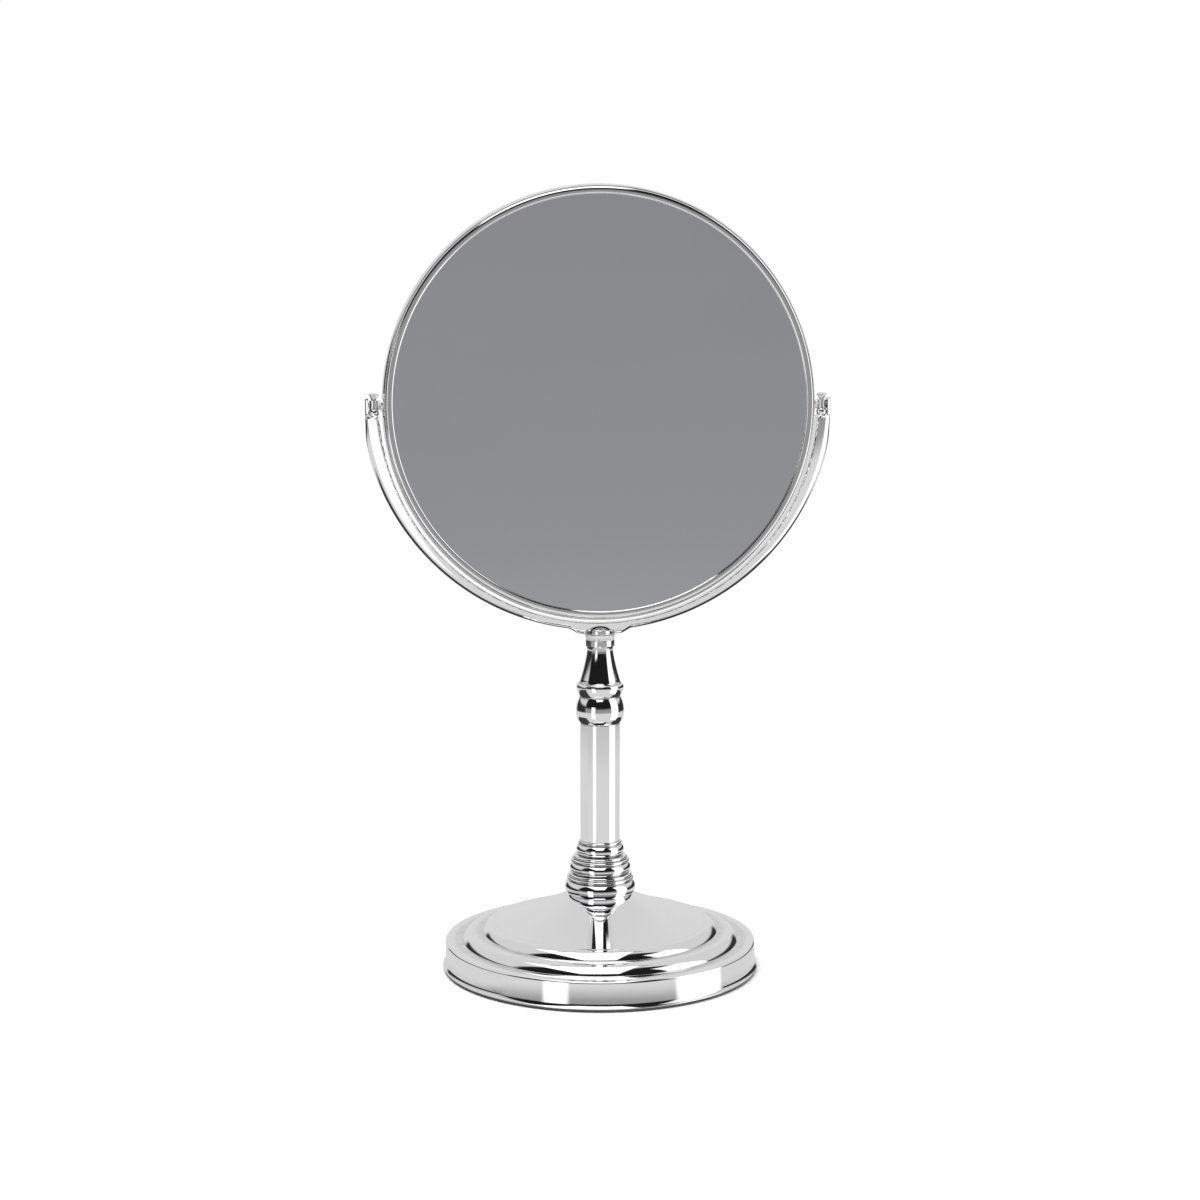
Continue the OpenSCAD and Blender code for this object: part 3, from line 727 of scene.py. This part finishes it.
def arm_grid(steps, corner):
    """The arms as one swept shape. Each row stands at an angle on the inner circle. From there a
    straight line runs out, level at the arms' ends and radial below them, to where it meets the
    outer circle or the plane of the arm's outer side. The half depth of the section is that of
    two arcs at the same distance inside the outer circle: a crowned face and a rounded edge."""
    # The outer circle's centre lies swell above the inner one's, so the arms thicken upwards
    clearance, thin, swell = 1.2, 3.8, 5.0
    inner_r = HOOP_R + clearance
    side_x = YOKE_HIGH[0]
    outer_r = inner_r + thin + swell
    # Half depths at the inner side and at the edge, and radii of the face and of the edge
    half, shoulder, face_r, edge_r, face_w, edge_w = 4.4, 2.4, 40, 4.4, 10, 2.5
    flank = np.vstack([
        arc([outer_r - face_w, -half], [outer_r - edge_w, -shoulder], face_r, 24),
        arc([outer_r - edge_w, -shoulder], [outer_r, 0], edge_r, 24)[1:],
    ])
    ear_x, seat, arm_foot = side_x - 1.8, -5.2, -26.0
    lift = YOKE_HIGH[2] - PIVOT_Z
    # Heights of the level rows at one arm's end, top first: the ear, then the notch's floor twice
    ear = np.linspace(lift, seat, 8)
    arm = np.linspace(seat, arm_foot, 14)
    low = np.arcsin(arm_foot / inner_r)
    around = np.linspace(low, -math.pi - low, steps)[1:-1]
    angle = np.r_[np.arcsin(np.r_[ear, arm] / inner_r), around,
                  -math.pi - np.arcsin(np.r_[arm[::-1], ear[::-1]] / inner_r)]
    ears = np.zeros(len(angle), bool)
    ears[:len(ear)] = ears[-len(ear):] = True
    side = np.where(np.cos(angle) >= 0, 1.0, -1.0)
    x0, z0 = inner_r * np.cos(angle), inner_r * np.sin(angle)
    # Direction of each row's line, which eases from level to radial between two heights
    level_z, radial_z = -12, -60
    share = np.clip((level_z - z0) / (level_z - radial_z), 0, 1)
    share = share * share * (3 - 2 * share)
    flat_angle = np.where(side > 0, 0.0, -math.pi)
    way = flat_angle + (angle - flat_angle) * share
    dx, dz = np.cos(way), np.sin(way)
    x0 = np.where(ears, side * ear_x, x0)

    def out_to(radius):
        """How far out each row's line meets the circle of this radius (root of a quadratic) or
        the plane of the outer side, whichever comes first. The outer side is rounded where it
        turns into the face by the soft smaller of the two: reach less half of the sum of past
        and the root of (past squared + soft)."""
        softness, fade = 1.4, 3
        b = x0[:, None] * dx[:, None] + (z0[:, None] - swell) * dz[:, None]
        c = (x0 ** 2 + (z0 - swell) ** 2)[:, None] - radius ** 2
        reach = -b + np.sqrt(np.maximum(b * b - c, 0))
        stop = ((side * side_x - x0) / dx)[:, None]
        past = reach - stop
        soft = softness * np.clip(reach / fade, 0, 1) ** 2
        return reach - 0.5 * (past + np.sqrt(past ** 2 + soft))

    def half_depth(inside):
        """Half depth of the section at a distance inside the outer circle, along the flank."""
        return -np.interp(outer_r - inside, flank[:, 0], flank[:, 1])

    # Distance inside the outer circle, from the inner side (all of it) to the outer edge (none)
    whole = (outer_r - np.hypot(x0, z0 - swell))[:, None]
    inside = (whole - 0.5 * corner) * np.linspace(1, 0, 22)[None, :] ** 1.5
    flank_out = out_to(outer_r - inside)
    flank_y = half_depth(inside)
    # The inner side is flat, with a rounded corner up to each face
    quarter = np.linspace(0, math.pi / 2, 5)[None, :-1]
    corner_out = flank_out[:, :1] * (1 - np.cos(quarter))
    corner_y = flank_y[:, :1] - corner * (1 - np.sin(quarter))
    across = np.linspace(-1, 1, 7)[None, 1:-1] * (flank_y[:, :1] - corner)
    out = np.concatenate([
        np.zeros_like(across), corner_out, flank_out, flank_out[:, -2::-1], corner_out[:, ::-1],
    ], 1)
    y = np.concatenate([across, corner_y, flank_y, -flank_y[:, -2::-1], -corner_y[:, ::-1]], 1)
    # Boss: below the middle the section grows outwards by boss_drop, easing in over boss_ease
    boss_half, boss_ease, boss_drop = 15, 6, 2.0
    grown = np.clip((boss_half - np.abs(x0)) / boss_ease, 0, 1) * (z0 < 0)
    grown = 1 + boss_drop / thin * grown * grown * (3 - 2 * grown)
    out = out * grown[:, None]
    x = x0[:, None] + out * dx[:, None]
    z = z0[:, None] + out * dz[:, None]
    return np.stack([x, y, z + PIVOT_Z], -1)


def capped(grid):
    """Shell of a grid that closes along its columns, with a flat cap on its first and last row."""
    rows, columns = grid.shape[:2]
    cap = np.arange(columns)[None]
    return grid.reshape(-1, 3), [quads(rows, columns), cap[:, ::-1], (rows - 1) * columns + cap]


def eased_edges(piece, width, angle=32.0):
    """Rounds the edges of a cast piece that turn by more than angle degrees, to a width in
    metres, and keeps its flats flat."""
    bevel = piece.modifiers.new("eased edges", "BEVEL")
    bevel.width = width
    bevel.segments = 3
    bevel.limit_method = "ANGLE"
    bevel.angle_limit = math.radians(angle)
    bevel.harden_normals = True


class MIRROR_OT_yoke(bpy.types.Operator):
    """Cast yoke: arms with crowned faces and notched ends, with a boss and a domed hub below"""

    bl_idname = "mirror.yoke"
    bl_label = "Yoke"

    def execute(self, context):
        sizes = context.scene.mirror_sizes
        cast = chrome("cast plating")
        arms = capped(arm_grid(steps=420, corner=sizes.cast_ease / MM))
        hub_h, hub_r, dome = 4.5, 6.0, 2.4
        dome_r = (hub_r ** 2 + dome ** 2) / (2 * dome)
        hub_outline = np.vstack([
            line([0, 0.01], [hub_r, 0.01]),
            arc([hub_r, hub_h - dome], [0, hub_h], dome_r, 14),
        ]) + [0, BOSS_FOOT]
        hub = turned(rounded(hub_outline, 0.5), 96)[0]
        piece = write_mesh("yoke_plated", [arms, hub], "stand", ["yoke"], cast)
        eased_edges(piece, sizes.cast_ease)
        return {"FINISHED"}


class MIRROR_OT_posts(bpy.types.Operator):
    """The two turned posts in the arms' ends: ball, neck and flared cap"""

    bl_idname = "mirror.posts"
    bl_label = "Pivot Posts"

    def execute(self, context):
        # Heights are from the pivots' axis
        ball_r, ball_z, neck_r, cap_z, cap_h, dome_h = 2.5, -3.7, 2.0, 2.1, 2.6, 0.8
        meet = ball_z + math.sqrt(ball_r ** 2 - neck_r ** 2)
        outline = np.vstack([
            arc([0, ball_z - ball_r], [neck_r, meet], ball_r, 20),
            line([neck_r, cap_z]),
            arc([0.55 * neck_r, cap_z + 0.02], [ball_r, cap_z + cap_h], -9, 8),
            arc([ball_r, cap_z + cap_h + 0.1], [0, cap_z + cap_h + dome_h], 4.3, 10),
        ]) + [0, PIVOT_Z]
        outline = rounded(outline, 0.2)
        post_x = (POST_LOW[0] + POST_HIGH[0]) / 2
        for side, name in ((-1, "left"), (1, "right")):
            turned_piece("pivot_post_" + name + "_plated", outline, 64, "stand",
                         ["pivot_post_" + name], "chrome",
                         chrome("turned plating"),
                         centre=(side * post_x, 0, 0))
        return {"FINISHED"}


# ---------- Mirror head ----------

class MIRROR_OT_hoop(bpy.types.Operator):
    """Crowned hoop with a small boss at each pivot"""

    bl_idname = "mirror.hoop"
    bl_label = "Frame Hoop"

    def execute(self, context):
        sizes = context.scene.mirror_sizes
        swell, inner, boss_r = 1.2, GLASS_R + 0.4, 3.4
        crown = (HOOP_HALF ** 2 + swell ** 2) / (2 * swell)
        edge = HOOP_R - swell
        outline = np.vstack([
            line([edge - 0.3, -HOOP_HALF]),
            arc([edge, -HOOP_HALF], [edge, HOOP_HALF], crown, 22),
            line([inner, HOOP_HALF], [inner, -HOOP_HALF], [edge - 0.6, -HOOP_HALF]),
        ])
        ring = turned(rounded(outline, 0.3)[:-1], sizes.segments, axis="Y", centre=PIVOT_POINT,
                      ring=True)[0]
        shells = [ring]
        boss = rounded([[0, inner + 1], [boss_r, inner + 1], [boss_r, HOOP_HIGH[0]],
                        [0, HOOP_HIGH[0]]], 0.05)
        for side in (-1, 1):
            shells.append(turned(boss * [1, side], 48, axis="X", centre=PIVOT_POINT)[0])
        write_mesh("frame_hoop_plated", shells, "mirror_head", ["frame_hoop"],
                   chrome("hoop plating"))
        return {"FINISHED"}


class MIRROR_OT_bezels(bpy.types.Operator):
    """The rims over the edges of the two glasses"""

    bl_idname = "mirror.bezels"
    bl_label = "Bezels"

    def execute(self, context):
        sizes = context.scene.mirror_sizes
        lip_r, rim_r = GLASS_R - 1.1, BEZEL_R
        middle_r = (lip_r + rim_r) / 2
        face, seat, top = PLAIN_LOW[1], -HOOP_HALF, -HEAD_HALF
        outline = np.vstack([
            line([middle_r, face + 0.3], [lip_r, face + 0.02], [lip_r, face - 0.2]),
            arc([lip_r, face - 0.2], [lip_r + 0.7, top], 0.8, 8),
            arc([rim_r - 1.1, top], [rim_r, seat - 0.4], 1.2, 10),
            line([rim_r, seat], [GLASS_R + 0.4, seat], [middle_r, face + 0.3]),
        ])
        outline = rounded(outline, 0.12)[:-1]
        material = chrome("hoop plating")
        for side, name in ((1, "front"), (-1, "rear")):
            turned_piece(name + "_bezel_plated", outline * [1, side], sizes.segments,
                         "mirror_head", [name + "_bezel"], "chrome", material, axis="Y",
                         centre=PIVOT_POINT, ring=True)
        return {"FINISHED"}


class MIRROR_OT_glasses(bpy.types.Operator):
    """The plain glass in front and the hollow magnifying glass behind"""

    bl_idname = "mirror.glasses"
    bl_label = "Glasses"

    def execute(self, context):
        sizes, finish = context.scene.mirror_sizes, context.scene.mirror_finish
        silver = silvered_glass("silvered glass", tuple(finish.glass_colour))
        front, back, ground, rows = PLAIN_LOW[1], PLAIN_HIGH[1], 0.4, 24
        plain = np.vstack([
            np.stack([np.linspace(0, GLASS_R - ground, rows), np.full(rows, back)], 1),
            line([GLASS_R, back - ground], [GLASS_R, front + ground]),
            np.stack([np.linspace(GLASS_R - ground, 0, rows), np.full(rows, front)], 1),
        ])
        turned_piece("plain_glass_silvered", rounded(plain, 0.1), sizes.segments, "mirror_head",
                     ["plain_glass"], "mirror_glass", silver, axis="Y", centre=PIVOT_POINT)
        rim, hollow_r, thick = MAGNIFIER_HIGH[1], 1000.0, 2.5
        sag = hollow_r - math.sqrt(hollow_r ** 2 - GLASS_R ** 2)
        # Both sides are spheres about one centre, which lies out along the axis: each side's
        # place is the centre less the root of (its sphere's radius squared - r squared)
        r = np.linspace(0, GLASS_R - 0.3, 60)
        centre = rim - sag + hollow_r
        face = centre - np.sqrt(hollow_r ** 2 - r ** 2)
        behind = centre - np.sqrt((hollow_r + thick) ** 2 - r ** 2)
        curved = np.vstack([np.stack([r, behind], 1), np.stack([r, face], 1)[::-1]])
        turned_piece("magnifying_glass_silvered", curved, sizes.segments, "mirror_head",
                     ["magnifying_glass"], "mirror_glass", silver, axis="Y",
                     centre=PIVOT_POINT)
        return {"FINISHED"}


# ---------- Fittings that keep their CAD shape ----------

class MIRROR_OT_fittings(bpy.types.Operator):
    """Finishes for the fittings whose CAD shape is kept"""

    bl_idname = "mirror.fittings"
    bl_label = "Fittings"

    def execute(self, context):
        steel = bare_metal("turned steel", record_colour("steel"), 0.28)
        white = moulded("white bush plastic", record_colour("white_plastic"), 0.35)
        finishes = {
            "base_plate": moulded("black moulded plastic", record_colour("black_plastic"), 0.5),
            "base_weight": bare_metal("cast iron", record_colour("cast_iron"), 0.6, 0.0002,
                                      (0.14, 0.07, 0.04)),
            "base_nut": steel, "base_washer": steel, "tie_rod": steel,
            "pivot_pin_left": steel, "pivot_pin_right": steel,
            "yoke_insert": bare_metal("turned brass", record_colour("brass"), 0.25),
            "yoke_washer": moulded("clear washer plastic", record_colour("clear_plastic"), 0.2),
            "pivot_bush_left": white, "pivot_bush_right": white,
            "friction_washer_left": white, "friction_washer_right": white,
            "core_board": moulded("hardboard", record_colour("hardboard"), 0.8, 500.0, 0.0002),
            "front_foam_pad": moulded("foam", record_colour("foam"), 0.9, 1500.0, 0.0003),
        }
        finishes["rear_foam_pad"] = finishes["front_foam_pad"]
        for node, material in finishes.items():
            mesh = frame["nodes"][node].data
            mesh.materials.clear()
            mesh.materials.append(material)
        return {"FINISHED"}


# ---------- Stage ----------

def band(tree, value, low, high, soft):
    """1 between low and high, easing to 0 over soft on each side."""
    return math_node(tree, "MULTIPLY", smooth_step(tree, value, low - soft, low + soft),
                     smooth_step(tree, value, high - soft, high + soft, 1.0, 0.0))


def elevation_ramp(tree, height, stops):
    """Brightness by the sine of the height above the horizon, from a list of (degrees, value)."""
    ramp = tree.nodes.new("ShaderNodeValToRGB")
    ramp.color_ramp.interpolation = "LINEAR"
    tree.links.new(math_node(tree, "MULTIPLY_ADD", height, 0.5, 0.5), ramp.inputs["Fac"])
    elements = ramp.color_ramp.elements
    places = [(0.5 + 0.5 * math.sin(math.radians(d)), v) for d, v in stops]
    while len(elements) < len(places):
        elements.new(0.5)
    for element, (place, value) in zip(elements, places):
        element.position = place
        element.color = (value, value, value, 1.0)
    return ramp.outputs["Color"]


def studio_world():
    """White backdrop to the camera. All else sees a studio: a softbox overhead, dark cloth in
    front, walls beside that are dark at the height of the piece and light above, two upright
    strip lights, a light room behind and a pale floor below."""
    world = bpy.data.worlds.new("studio")
    bpy.context.scene.world = world
    world.use_nodes = True
    tree = world.node_tree
    back = tree.nodes["Background"]
    direction = tree.nodes.new("ShaderNodeTexCoord").outputs["Generated"]
    split = tree.nodes.new("ShaderNodeSeparateXYZ")
    tree.links.new(direction, split.inputs[0])
    x, y, z = split.outputs
    front = elevation_ramp(tree, z, [(-90, 0.3), (-60, 0.7), (-12, 0.72), (-8, 0.36), (-5, 0.31),
                                     (4, 0.28), (8, 0.05), (12, 0.012), (66, 0.012), (90, 0.3)])
    side = elevation_ramp(tree, z, [(-90, 0.05), (-24, 0.04), (-20, 0.7), (-11, 0.7), (-8, 0.03),
                                    (8, 0.03), (15, 0.68), (90, 0.68)])
    rear = elevation_ramp(tree, z, [(-90, 0.05), (-24, 0.04), (-20, 0.7), (-4, 0.7), (6, 0.72),
                                    (30, 0.72), (90, 0.66)])
    # Azimuth of the direction: none to the front (-Y), growing towards +X
    angle = math_node(tree, "ARCTAN2", x, math_node(tree, "MULTIPLY", y, -1.0))
    turned_away = math_node(tree, "ABSOLUTE", angle)
    beside = smooth_step(tree, turned_away, math.radians(76), math.radians(86))
    behind = smooth_step(tree, turned_away, math.radians(148), math.radians(156))
    level = mix_value(tree, behind, mix_value(tree, beside, front, side), rear)
    # Each strip: left and right azimuth, lower and upper elevation, all in degrees, brightness
    strips = ((-47, -29, -40, 13, 1.3), (51, 92, -40, 52, 1.3))
    for left, right, low, high, value in strips:
        mask = math_node(tree, "MULTIPLY",
                         band(tree, angle, math.radians(left), math.radians(right), 0.04),
                         band(tree, z, math.sin(math.radians(low)), math.sin(math.radians(high)),
                              0.03))
        level = mix_value(tree, mask, level, value)
    # Where the direction meets a level plane one unit up
    climb = math_node(tree, "MAXIMUM", z, 0.05)
    over_x = math_node(tree, "DIVIDE", x, climb)
    over_y = math_node(tree, "DIVIDE", y, climb)
    softbox = math_node(tree, "MULTIPLY", band(tree, over_x, -0.56, 0.26, 0.03),
                        band(tree, over_y, -1.3, 0.36, 0.04))
    level = mix_value(tree, softbox, level, 1.5)
    seen = tree.nodes.new("ShaderNodeLightPath").outputs["Is Camera Ray"]
    level = mix_value(tree, seen, level, 1.0)
    tree.links.new(level, back.inputs["Color"])


def floor_material():
    """Pale floor that fades out into the backdrop away from the object."""
    material, tree, shader = new_material("pale floor", (0.97, 0.97, 0.97), 0.0, 0.7)
    length = tree.nodes.new("ShaderNodeVectorMath")
    length.operation = "LENGTH"
    tree.links.new(object_coordinate(tree), length.inputs[0])
    tree.links.new(smooth_step(tree, length.outputs["Value"], 0.25, 0.85, 1.0, 0.0),
                   shader.inputs["Alpha"])
    return material


class MIRROR_OT_stage(bpy.types.Operator):
    """Pale floor, soft studio light and the camera"""

    bl_idname = "mirror.stage"
    bl_label = "Stage"

    def execute(self, context):
        scene = context.scene
        floor_r, corners = 1.0, 96
        a = np.linspace(0, 2 * math.pi, corners, endpoint=False)
        points = np.stack([floor_r * np.cos(a), floor_r * np.sin(a), 0 * a], 1)
        mesh = bpy.data.meshes.new("floor")
        mesh.from_pydata(points.tolist(), [], [list(range(corners))])
        floor = bpy.data.objects.new("floor", mesh)
        scene.collection.objects.link(floor)
        mesh.materials.append(floor_material())
        floor.visible_glossy = False

        studio_world()
        key = bpy.data.lights.new("overhead light", "AREA")
        key.shape = "DISK"
        key.size = 1.1
        key.energy = 19.0
        lamp = bpy.data.objects.new("overhead light", key)
        lamp.location = (-0.2, -0.25, 1.6)
        lamp.rotation_euler = (math.radians(-9), math.radians(-7), 0)
        lamp.visible_glossy = False
        lamp.visible_camera = False
        scene.collection.objects.link(lamp)

        camera_data = bpy.data.cameras.new("camera")
        camera_data.lens = 63.03
        camera_data.sensor_width = 36.0
        camera = bpy.data.objects.new("camera", camera_data)
        camera.location = (-0.10453, -0.99452, 0.30056)
        camera.rotation_euler = (math.radians(90 - 6.9), 0, math.radians(-6))
        scene.collection.objects.link(camera)
        scene.camera = camera
        scene.view_settings.view_transform = "Standard"
        return {"FINISHED"}


# ---------- Panel and registration ----------

OPERATORS = (
    MIRROR_OT_stage, MIRROR_OT_pad, MIRROR_OT_base_cover, MIRROR_OT_collar, MIRROR_OT_tube,
    MIRROR_OT_baluster, MIRROR_OT_yoke, MIRROR_OT_posts, MIRROR_OT_hoop, MIRROR_OT_bezels,
    MIRROR_OT_glasses, MIRROR_OT_fittings,
)


class MIRROR_PT_panel(bpy.types.Panel):
    """Lists the settings and the pieces of the mirror"""

    bl_idname = "MIRROR_PT_panel"
    bl_label = "Shaving Mirror"
    bl_space_type = "VIEW_3D"
    bl_region_type = "UI"
    bl_category = "Shaving Mirror"

    def draw(self, context):
        for group in (context.scene.mirror_sizes, context.scene.mirror_finish):
            for name in group.__annotations__:
                self.layout.prop(group, name)
        for operator in OPERATORS:
            self.layout.operator(operator.bl_idname)


CLASSES = (MirrorSizes, MirrorFinish, *OPERATORS, MIRROR_PT_panel)


def register():
    for cls in CLASSES:
        bpy.utils.register_class(cls)
    bpy.types.Scene.mirror_sizes = bpy.props.PointerProperty(type=MirrorSizes)
    bpy.types.Scene.mirror_finish = bpy.props.PointerProperty(type=MirrorFinish)


def unregister():
    del bpy.types.Scene.mirror_finish
    del bpy.types.Scene.mirror_sizes
    for cls in reversed(CLASSES):
        bpy.utils.unregister_class(cls)


def main():
    register()
    for operator in OPERATORS:
        name = operator.bl_idname.split(".")[1]
        if getattr(bpy.ops.mirror, name)() != {"FINISHED"}:
            raise RuntimeError(operator.bl_label + " was not made")


if __name__ == "__main__":
    main()
